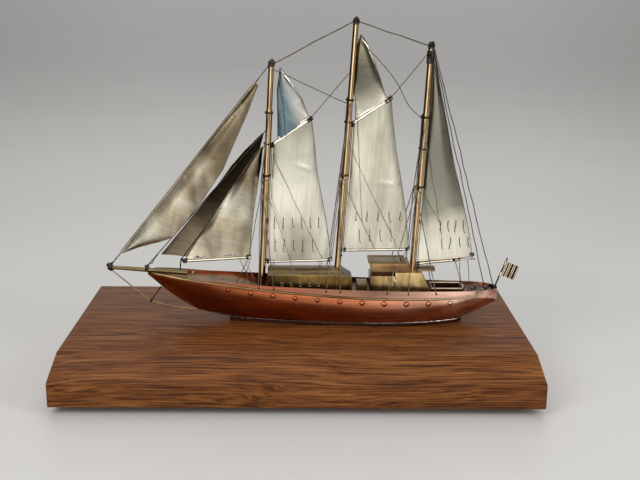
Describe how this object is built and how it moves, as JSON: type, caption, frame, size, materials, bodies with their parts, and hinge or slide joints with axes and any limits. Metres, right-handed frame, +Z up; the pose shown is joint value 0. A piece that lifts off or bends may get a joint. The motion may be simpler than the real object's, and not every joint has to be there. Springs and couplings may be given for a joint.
{
  "type": "model sailing ship",
  "caption": "Gaff schooner soldered from sheet copper, brass and wire on a bevelled hardwood board, with a free-hanging flying jib and a flag that turns on its staff.",
  "frame": {"origin": "bottom centre of the board, on the surface its feet rest on", "axes": "+X towards the stern along the board, +Y towards starboard, +Z up"},
  "size_m": [0.32, 0.154, 0.2465],
  "materials": {
    "wood": "oiled hardwood, straight grain",
    "rubber": "matt",
    "steel": "plated",
    "copper": "brushed and heat-coloured copper",
    "dark_copper": "darkened copper",
    "solder": "bright solder",
    "aged_brass": "aged brass sheet",
    "bright_brass": "polished and waxed",
    "copper_stud": "polished copper",
    "mast_brass": "drawn rod",
    "sail_brass": "pale brushed brass sheet",
    "headsail_brass": "brushed brass sheet",
    "dark_sail_brass": "darkened brass sheet",
    "dark_wire": "blackened wire",
    "shroud_wire": "dull wire"
  },
  "bodies": {
    "ship": {"base_board": "wood", "feet": "rubber", "mounting_screws": "steel", "mounting_nuts": "bright_brass", "bottom_plate": "dark_copper", "hull_port": "copper", "hull_starboard": "copper", "solder_seam": "solder", "deck_plate": "aged_brass", "rub_rail_port": "bright_brass", "rub_rail_starboard": "bright_brass", "hull_portlights": "copper_stud", "bowsprit": "bright_brass", "bobstay": "bright_brass", "dolphin_striker": "dark_wire", "staysail_post": "dark_wire", "forward_deckhouse": "aged_brass", "deckhouse_portlights": "bright_brass", "deck_hatch": "aged_brass", "midship_cabin": "aged_brass", "aft_cabin": "aged_brass", "charthouse_plinth": "dark_copper", "charthouse": "aged_brass", "charthouse_roof": "aged_brass", "companion_hood": "aged_brass", "cockpit_well": "aged_brass", "fore_lower_mast": "mast_brass", "fore_topmast": "mast_brass", "main_lower_mast": "mast_brass", "main_topmast": "mast_brass", "mizzen_lower_mast": "mast_brass", "mizzen_topmast": "mast_brass", "mast_caps": "dark_wire", "crosstrees": "dark_wire", "fore_gaff": "bright_brass", "main_gaff": "bright_brass", "staysail_boom": "bright_brass", "fore_boom": "bright_brass", "main_boom": "bright_brass", "mizzen_boom": "bright_brass", "inner_jib": "dark_sail_brass", "staysail": "headsail_brass", "fore_sail": "sail_brass", "fore_topsail": "sail_brass", "main_sail": "sail_brass", "main_topsail": "sail_brass", "mizzen_sail": "sail_brass", "reef_points": "dark_wire", "outer_forestay": "dark_wire", "inner_forestays": "dark_wire", "spring_stays": "dark_wire", "fore_shrouds": "shroud_wire", "main_shrouds": "shroud_wire", "mizzen_shrouds": "shroud_wire", "backstays": "dark_wire", "sheets_and_lifts": "dark_wire", "flag_staff": "dark_wire"},
    "jib": {"flying_jib": "headsail_brass", "jib_tubes": "bright_brass"},
    "flag": {"ensign": "bright_brass"}
  },
  "joints": [
    {"name": "flying_jib_swing", "type": "hinge", "parent": "ship", "child": "jib", "pos_m": [-0.131, -0.004, 0.0774], "axis": [0.6223, -0.0236, 0.7824], "range_deg": [-30, 30]},
    {"name": "flag_swing", "type": "hinge", "parent": "ship", "child": "flag", "pos_m": [0.1369, -0.004, 0.0647], "axis": [0.3496, 0, 0.9369], "range_deg": [-90, 90]}
  ]
}
